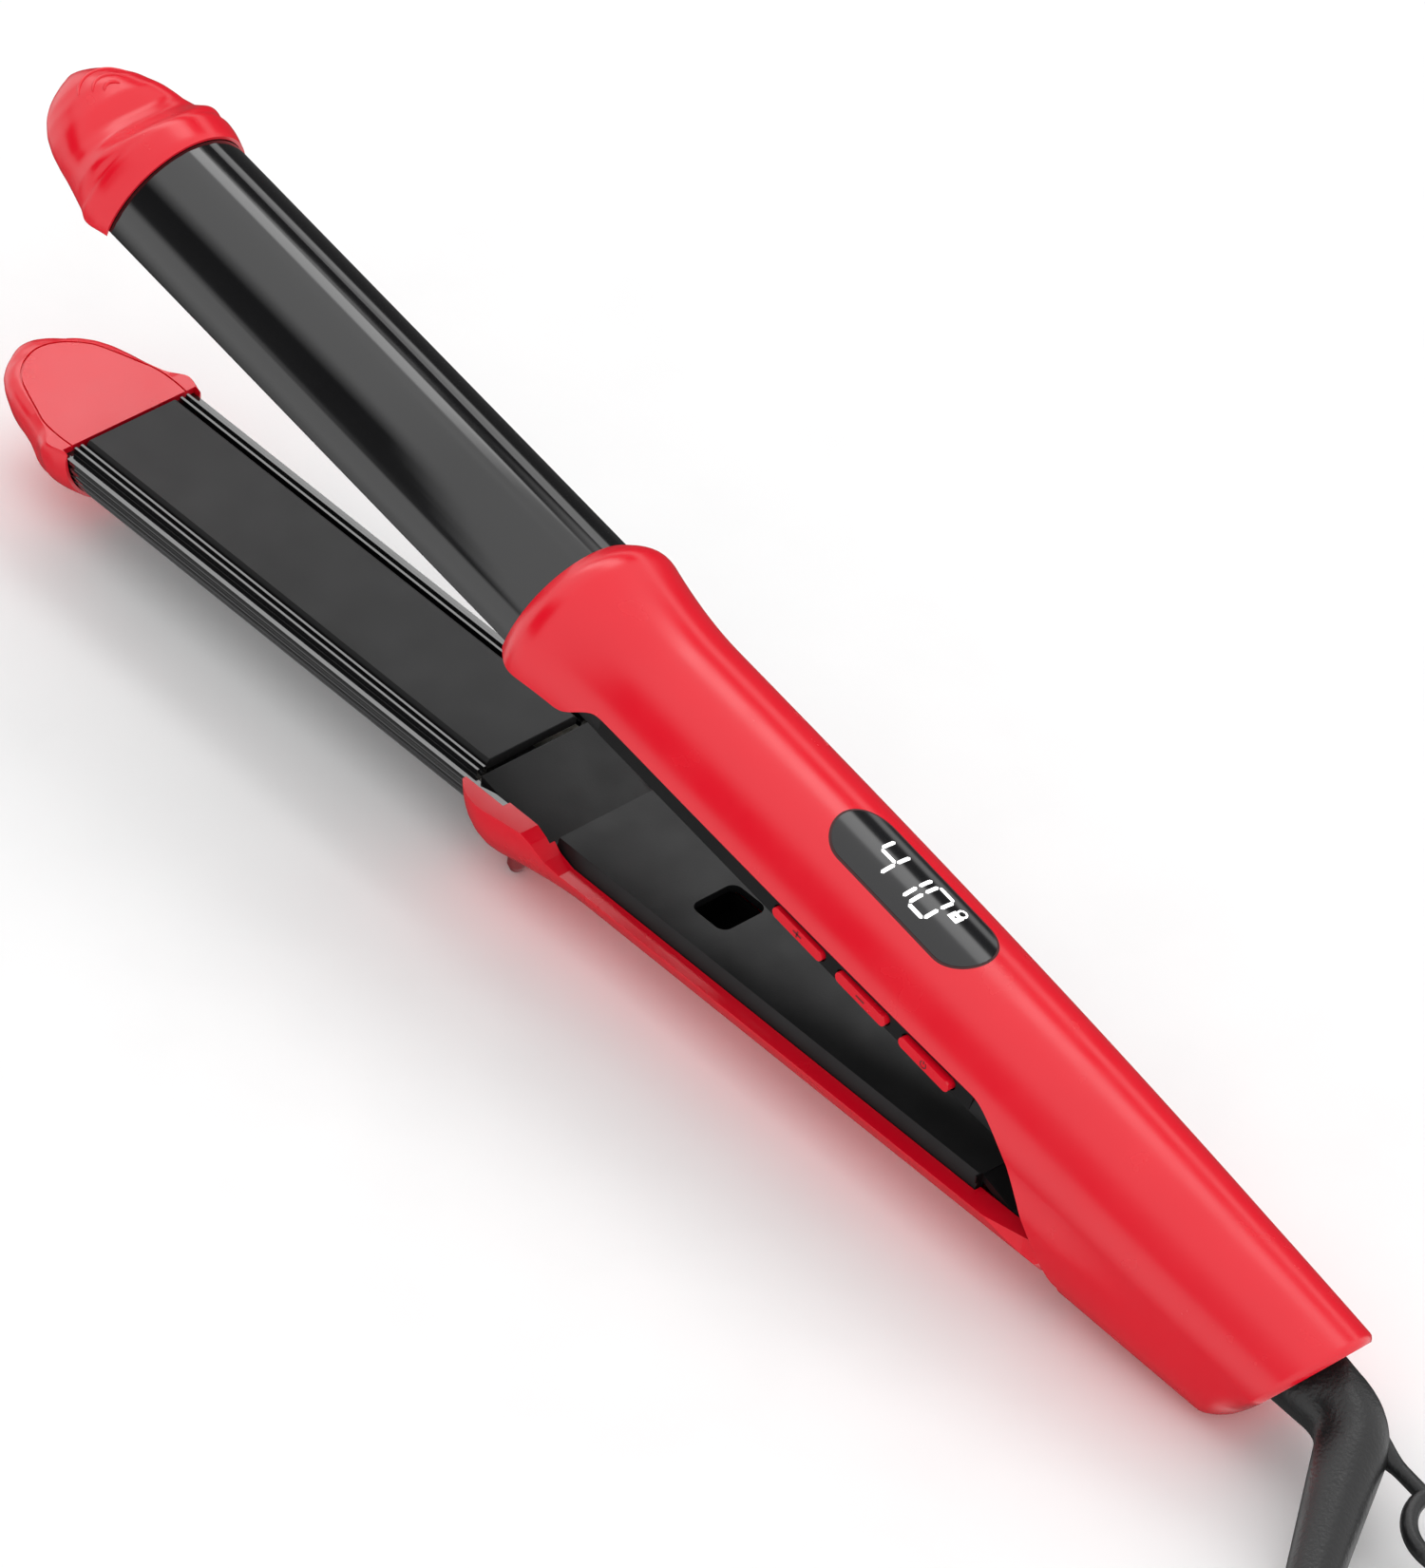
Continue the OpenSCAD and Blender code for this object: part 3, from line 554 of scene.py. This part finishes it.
def walled(rings):
    n = len(rings[0])
    points = [p for r in rings for p in r]
    faces = ring_faces(len(rings), n)
    for base in (0, (len(rings) - 1) * n):
        faces += [(base + j, base + n - 1 - j, base + n - 2 - j, base + j + 1)
                  for j in range(n // 2 - 1)]
    return points, faces


REAR_STATIONS = [-17.6 - 0.7 * k for k in range(6)]
REAR_STATIONS += [-22, -22.6, -23.2, -23.6, -24, -24.35, -24.65, -24.85, -25]
stations = [175.5, 175.2, 174.8, 174.3]
stations += [173.7 - 0.8 * k for k in range(38)] + [143 - 3 * k for k in range(30)]
stations += [55 - 0.8 * k for k in range(41)] + [22.1 - 2 * k for k in range(20)]
stations += REAR_STATIONS
piece("upper_shell", *walled([shell_ring(u) for u in stations]), "upper_arm", "red",
      ["upper_handle_shell"], sharp=40, bevel=0.45, segments=3)
stations = [20.8 - 2 * k for k in range(20)] + REAR_STATIONS
piece("housing_base", *walled([cover_ring(u) for u in stations]), "upper_arm", "red",
      ["hinge_cover"], sharp=40, bevel=0.3, segments=2)

# ---- tip caps ----


CAP_START, CAP_TIP = 288.8, 320.6
CAP_ARC, BORE_SIDES, BORE_R = 128, 97, 16.12
# Station and half width at a cap's widest, the same at its flat face, and station and height.
CAP_PLAN = [(288.8, 16.6), (290, 17), (292, 17.7), (294.2, 18), (295.4, 17.4), (297, 16.4),
            (299.5, 15.6), (302, 14.9), (305, 14.2), (309, 13), (312.5, 11.5), (315.5, 9.4),
            (317.5, 7.2), (319.2, 4.4), (320.2, 2.2), (CAP_TIP, 0.6)]
CAP_FACE = [(288.8, 15.9), (290, 16.2), (292.8, 17.2), (294, 17), (295.5, 15.6), (297, 14.7),
            (299.5, 13.9), (302.6, 12.7), (305.5, 12), (308.7, 10.9), (311.8, 9), (314.4, 5.9),
            (315.8, 2.4), (316.2, 0.3)]
CAP_PROFILE = [(288.8, 16.7), (290, 17), (294.6, 17.3), (296, 16.8), (298, 14.2), (301, 11.6),
               (304, 11), (308, 12.3), (312, 12.6), (315, 11.4), (317.5, 9.4), (319.2, 7.6),
               (320.2, 6.2), (CAP_TIP, 5.2)]


def lookup(u, table):
    for (a, x), (b, y) in zip(table, table[1:]):
        if u <= b:
            return x + (y - x) * max(0, (u - a) / (b - a))
    return table[-1][1]


def eased(u, table):
    reach = min(0.7, u - CAP_START, CAP_TIP - u)
    return sum(lookup(u + reach * k / 4, table) for k in range(-4, 5)) / 9


def cap_section(u, grow):
    k = clamp((u - 316.2) / (CAP_TIP - 316.2))
    low = 0.42 + 3.9 * (1 - sqrt(1 - k * k))
    extra = grow * ease((u - 294.8) / 3) * ease((CAP_TIP - u) / 2.5)
    square = 2 + 1.1 * ease((u - 295) / 3.5) * (1 - ease((u - 302) / 12))
    half, face = eased(u, CAP_PLAN) + extra, eased(u, CAP_FACE) + extra
    return half, face, eased(u, CAP_PROFILE), low, square


def cap_point(u, t, grow):
    a, face, h, low, square = cap_section(u, grow)
    c, w = cos(pi * t), low + (h - low) * max(0, sin(pi * t)) ** (2 / square)
    q = max(0, 1 - (w - low) / min(3.6, (h - low) / 2))
    v = a * abs(c) ** (2 / square) - (a - face) * (1 - sqrt(1 - q * q))
    return (u, -max(0, v) * (1 if c > 0 else -1), w)


def cap_top(u, v, grow):
    a, face, h, low, square = cap_section(u, grow)
    return low + (h - low) * max(0, 1 - (abs(v) / a) ** square) ** (1 / square)


def cap_mesh(place, arm, grow):
    stations = [CAP_START, 288.95, 289.2, 289.5] + [289.8 + 0.3 * k for k in range(99)]
    stations += [319.5, 319.8, 320.05, 320.25, 320.4, 320.5, 320.57, CAP_TIP]
    n = CAP_ARC + 1
    rings = [[place(*cap_point(u, i / CAP_ARC, grow)) for i in range(n)] for u in stations]
    points = [p for r in rings for p in r]
    faces = ring_faces(len(rings), n)
    faces.append(tuple(range(n)))
    faces.append(tuple((len(rings) - 1) * n + j for j in range(n)))
    obj = raw(arm + "_cap", points, faces)
    # room for the barrel's end, and the fine groove round the flat inner face
    spokes = [2 * pi * (k + 0.37) / BORE_SIDES for k in range(BORE_SIDES)]
    bore = [[place(u, BORE_R * cos(a), BORE_R * sin(a)) for a in spokes]
            for u in (285.3, 290.3)]
    cutters = [raw("bore", *loft(bore))]
    half = [(-13.8, 289), (-14.0, 294), (-13.6, 298.5), (-12.2, 302.5), (-10.5, 307),
            (-8.6, 311), (-5.4, 314), (-2.4, 315.5), (0, 315.9)]
    half += [(-v, u) for v, u in half[-2::-1]]
    smooth = catmull([(v, u, 0) for v, u in [(-13.8, 282)] + half + [(13.8, 282)]], 6)
    band = []
    for i, p in enumerate(smooth):
        t = (smooth[min(i + 1, len(smooth) - 1)] - smooth[max(i - 1, 0)]).normalized()
        s = Vector((-t.y, t.x, 0))
        a, b = p + s * 0.2, p - s * 0.2
        band.append([place(a.y, a.x, -0.5), place(b.y, b.x, -0.5), place(b.y, b.x, 0.9),
                     place(a.y, a.x, 0.9)])
    cutters.append(raw("groove", *loft(band)))
    cut(obj, *cutters)
    finish_piece(obj, arm + "_arm", "red", [arm + "_tip_cap"], sharp=38)
    obj.data.set_sharp_from_angle(angle=radians(38))
    # three raised grip arcs on the thumb side
    for k, r in enumerate((6.6, 4.2, 2.1)):
        path = []
        for i in range(33):
            turn_ = radians(-62 + 124 * i / 32)
            u, v = 308.9 + r * cos(turn_), -0.5 + r * sin(turn_)
            path.append(place(u, v, cap_top(u, v, grow) - 0.02))
        thick = [(0.05 + 0.34 * sin(pi * i / 32) ** 0.35) * MM for i in range(33)]
        piece(f"{arm}_cap_ridge_{k + 1}", *loft(tube(path, thick, 12)), arm + "_arm", "red")


cap_mesh(on_upper, "upper", 0.45)
cap_mesh(lambda u, v, w: on_lower(u, v, -w), "lower", -0.15)

# ---- display ----


def on_top(u, v, lift):
    r = handle_soft(u) + lift
    return on_upper(u, v, sqrt(max(0, r * r - v * v)))


DISPLAY_MID = 86.3


def stadium_patch(name, long, wide, lift, deep, look, replaces=()):
    mid, r = DISPLAY_MID, wide / 2
    flat = long / 2 - r
    us = [(-flat - r * cos(pi / 2 * i / 14), r * sin(pi / 2 * i / 14)) for i in range(1, 14)]
    us += [(-flat + 2 * flat * i / 20, r) for i in range(21)]
    us += [(flat + r * sin(pi / 2 * i / 14), r * cos(pi / 2 * i / 14)) for i in range(1, 14)]
    rows = [[on_top(mid + u, half * (k / 12 - 1), lift) for k in range(25)] for u, half in us]
    tip0, tip1 = on_top(mid - long / 2, 0, lift), on_top(mid + long / 2, 0, lift)
    rim = ([tip0] + [r_[0] for r_ in rows] + [tip1] + [r_[-1] for r_ in reversed(rows)])
    points = [p for r_ in rows for p in r_] + [tip0, tip1]
    n = 25
    faces = ring_faces(len(rows), n, closed=False)
    a, b = len(points) - 2, len(points) - 1
    faces += [(a, k + 1, k) for k in range(n - 1)]
    last = (len(rows) - 1) * n
    faces += [(b, last + k, last + k + 1) for k in range(n - 1)]
    down = (UPPER @ Vector((0, 0, -deep))) * MM
    start = len(points)
    points += rim + [Vector(p) + down for p in rim]
    m = len(rim)
    faces += [(start + k, start + (k + 1) % m, start + m + (k + 1) % m, start + m + k)
              for k in range(m)]
    faces.append(tuple(start + m + k for k in range(m)))
    return piece(name, points, faces, "upper_arm", look, replaces, sharp=50)


# The seam round the display is a flat dark strip on the uncut shell: painted shade for the groove's
# recess.
stadium_patch("display_seam_shade", 39.5, 13.9, 0.03, 0.5, "groove")
stadium_patch("display_window", 38.6, 13.0, 0.1, 0.5, "lens", ["display_lens"])


def ribbon(map_point, line, width, pointed=True):
    """A thin closed strip along a plan line, laid on a surface."""
    pts = [Vector((*p, 0)) for p in line]
    fine = []
    for a, b in zip(pts, pts[1:]):
        steps = max(1, int((b - a).length / 0.8))
        fine += [a.lerp(b, i / steps) for i in range(steps)]
    fine.append(pts[-1])
    total, points, faces = [], [], []
    for i, p in enumerate(fine):
        t = (fine[min(i + 1, len(fine) - 1)] - fine[max(i - 1, 0)]).normalized()
        s = Vector((-t.y, t.x, 0)) * width / 2
        total.append((p + s, p - s))
    if pointed:
        t0 = (fine[1] - fine[0]).normalized() * width / 2
        t1 = (fine[-1] - fine[-2]).normalized() * width / 2
        total = [(fine[0], fine[0])] + [(a + t0 * (i == 0) - t1 * (i == len(total) - 1),
                                         b + t0 * (i == 0) - t1 * (i == len(total) - 1))
                                        for i, (a, b) in enumerate(total)] + [(fine[-1], fine[-1])]
    for a, b in total:
        for lift in (1, 0):
            points += [map_point(a.x, a.y, lift), map_point(b.x, b.y, lift)]
    for i in range(len(total) - 1):
        a = 4 * i
        faces += [(a, a + 4, a + 5, a + 1), (a + 2, a + 3, a + 7, a + 6),
                  (a, a + 2, a + 6, a + 4), (a + 1, a + 5, a + 7, a + 3)]
    faces += [(0, 1, 3, 2), tuple(len(points) - 4 + k for k in (0, 2, 3, 1))]
    return points, faces


def marks(name, map_point, lines, body, look):
    points, faces = [], []
    for line_, width, pointed in lines:
        p, f = ribbon(map_point, line_, width, pointed)
        faces += [tuple(i + len(points) for i in face) for face in f]
        points += p
    return piece(name, points, faces, body, look, sharp=50)


def digit_place(u, v, lift):
    return on_top(u, v, 0.11 + 0.07 * lift)


SEGMENTS = {"4": "fgbc", "1": "bc", "0": "abcdef"}
DIGIT_WIDE, DIGIT_LOW, DIGIT_TALL, STROKE = 4.1, -3.45, 7.7, 0.74


def digit(sign, left):
    """Seven-segment figure read from the tip towards the hinge; left is its larger u."""
    def at(x, y):
        return (left - x * DIGIT_WIDE, DIGIT_LOW + y * DIGIT_TALL)
    g = 0.035
    ends = {"a": ((g, 1), (1 - g, 1)), "b": ((1, 1 - g), (1, 0.5 + g)), "c": ((1, 0.5 - g), (1, g)),
            "d": ((g, 0), (1 - g, 0)), "e": ((0, 0.5 - g), (0, g)), "f": ((0, 1 - g), (0, 0.5 + g)),
            "g": ((g, 0.5), (1 - g, 0.5))}
    return [([at(*ends[s][0]), at(*ends[s][1])], STROKE, True) for s in SEGMENTS[sign]]


figures = digit("4", 96.1) + digit("1", 90.1) + digit("0", 84.3)
lock_u, lock_v = 77.4, 1.85
lock_half = 1.15
for v in (lock_v - 0.65, lock_v + 0.65):
    figures.append(([(lock_u + lock_half, v), (lock_u - lock_half, v)], 0.8, False))
figures += [([(lock_u + k * lock_half, lock_v), (lock_u + k * 0.28, lock_v)], 0.6, False)
            for k in (1, -1)]
shackle = [radians(t) for t in (-50, -20, 15, 50, 90, 130, 165, 200, 230)]
figures.append(([(lock_u + 0.85 * cos(a), lock_v + 1.75 + 0.95 * sin(a)) for a in shackle],
                0.4, False))
marks("display_figures", digit_place, figures, "upper_arm", "digit")

# ---- key symbols: engraved signs drawn as darker red strips, painted shade ----


def on_key(u, w, lift):
    return on_upper(u, -15.8 - 0.04 + 0.05 * (1 - lift), 3.4 + w)


SIGN, POWER_SIGN, POWER_U = 0.36, 0.26, 61.6
plus = [([(94.7, 0), (96.9, 0)], SIGN, False), ([(95.8, -0.8), (95.8, 0.8)], SIGN, False)]
minus = [([(77.6, 0), (79.8, 0)], SIGN, False)]
arc = [(POWER_U + 0.72 * cos(radians(t)), 0.72 * sin(radians(t))) for t in range(125, 416, 24)]
power = [(arc, POWER_SIGN, False), ([(POWER_U, 0.15), (POWER_U, 0.9)], POWER_SIGN, False)]
marks("plus_sign", on_key, plus, "plus_key", "mark")
marks("minus_sign", on_key, minus, "minus_key", "mark")
marks("power_sign", on_key, power, "power_key", "mark")

# Dark well under the latch hole, so the hollow handle doesn't show through it.
corners = [(-1, -1), (-1, 1), (1, 1), (1, -1)]
LATCH_U = 125.1
well = [[on_lower(LATCH_U + a * i, b * j, w) for i, j in corners]
        for a, b, w in ((7, 7.8, -12.9), (7, 7.8, -7.7), (6.6, 7.4, -7.7), (6.6, 7.4, -12.5))]
piece("latch_well", *loft(well), "lower_arm", "black", sharp=30)

# ---- carried-over nodes ----

LOOKS = {
    "upper_barrel": "barrel", "lower_barrel": "barrel", "upper_plate": "plate",
    "lower_plate": "plate", "upper_inner_cover": "black", "lower_inner_cover": "black",
    "lower_handle_shell": "red", "rear_end_cap": "black", "lock_slider": "black",
    "swivel_socket": "black", "swivel_collar": "black", "upper_insulator": "insulation",
    "lower_insulator": "insulation", "upper_buffers": "silicone", "lower_buffers": "silicone",
    "upper_heater": "foil", "lower_heater": "foil", "thermal_fuse": "foil",
    "display_module": "display", "control_board": "board", "tact_switches": "steel",
    "plus_button": "red", "minus_button": "red", "power_button": "red", "upper_screws": "steel",
    "lower_screws": "steel", "hinge_bracket": "steel", "hinge_pin": "steel",
    "hinge_spring": "steel", "hinge_knuckle": "steel", "rest_feet": "dark_red",
    "plug_blades": "brass",
}
BEVELS = {"lower_handle_shell": 0.45, "lower_inner_cover": 0.5, "upper_inner_cover": 0.35,
          "plus_button": 0.4, "minus_button": 0.4, "power_button": 0.4, "lock_slider": 0.25,
          "upper_plate": 0.15, "lower_plate": 0.15, "upper_barrel": 0.2, "lower_barrel": 0.12,
          "plug_blades": 0.3, "hinge_knuckle": 0.2, "hinge_bracket": 0.2}
for name, look in LOOKS.items():
    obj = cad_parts[name]
    obj.data.materials.clear()
    obj.data.materials.append(M[look])
    if name in BEVELS:
        weld = obj.modifiers.new("weld", "WELD")
        weld.merge_threshold = 1e-6
        mod = obj.modifiers.new("bevel", "BEVEL")
        mod.width = BEVELS[name] * MM
        mod.segments = 3
        mod.limit_method = "ANGLE"
        mod.angle_limit = radians(32)
        mod.harden_normals = True

# ---- floor, lights ----

bpy.ops.mesh.primitive_plane_add(size=6, location=(0, 0, -0.0003))
floor = bpy.context.object
floor.name = "floor"
floor.data.materials.append(material("floor", (0.95, 0.95, 0.95), 0.7, specular=0.2, grain=3,
                                     bump=0.02, mottle=0.01))
floor.visible_glossy = False

world = bpy.data.worlds.new("world")
scene.world = world
world.use_nodes = True
tree = world.node_tree
background = tree.nodes["Background"]
background.inputs["Strength"].default_value = 1.0


def node(kind, *values, **settings):
    n = tree.nodes.new(kind)
    for key, value in settings.items():
        setattr(n, key, value)
    for socket, value in zip(n.inputs, values):
        if isinstance(value, bpy.types.NodeSocket):
            tree.links.new(value, socket)
        else:
            socket.default_value = value
    return n


# Long soft panels along the object, by the direction's angle round the X axis: 0 is the near
# horizon, 90 overhead and 180 the far horizon. Away from their ends the room is evenly pale.
direction = node("ShaderNodeSeparateXYZ", node("ShaderNodeTexCoord").outputs["Generated"])
to_near = node("ShaderNodeMath", direction.outputs["Y"], -1.0, operation="MULTIPLY").outputs[0]
angle = node("ShaderNodeMath", direction.outputs["Z"], to_near, operation="ARCTAN2").outputs[0]
turns = node("ShaderNodeMath", angle, 2 * pi, operation="DIVIDE").outputs[0]
past_below = node("ShaderNodeMath", turns, 0.25, operation="ADD").outputs[0]
along_it = node("ShaderNodeMath", past_below, operation="FRACT").outputs[0]
ramp = node("ShaderNodeValToRGB", along_it)
PANELS = [(-90, 0.05), (-40, 0.06), (-26, 0.26), (-16, 0.36), (9, 0.36), (16, 0.03), (46, 0.02),
          (62, 0.36), (66, 0.39), (115, 0.39), (117, 1.0), (134, 1.0), (136, 0.02), (152, 0.02),
          (154, 0.45), (161, 0.45), (164, 0.02), (269, 0.03)]
stops = ramp.color_ramp.elements
while len(stops) < len(PANELS):
    stops.new(0.5)
for stop, (degree, value) in zip(stops, PANELS):
    stop.position = (degree + 90) / 360
for stop, (degree, value) in zip(stops, PANELS):
    stop.color = (value, value, value, 1)
bright = node("ShaderNodeMath", ramp.outputs["Color"], 3.1, operation="MULTIPLY").outputs[0]
offset = node("ShaderNodeMath", direction.outputs["X"], 0.5, operation="ADD").outputs[0]
reach = node("ShaderNodeMath", offset, operation="ABSOLUTE").outputs[0]
mask = node("ShaderNodeMapRange", reach, 0.3, 0.42, 0.0, 1.0)
level_out = node("ShaderNodeMix", mask.outputs["Result"], data_type="FLOAT")
tree.links.new(bright, level_out.inputs[2])
level_out.inputs[3].default_value = 1.08
tree.links.new(level_out.outputs[0], background.inputs["Color"])
scene.view_settings.view_transform = "Standard"
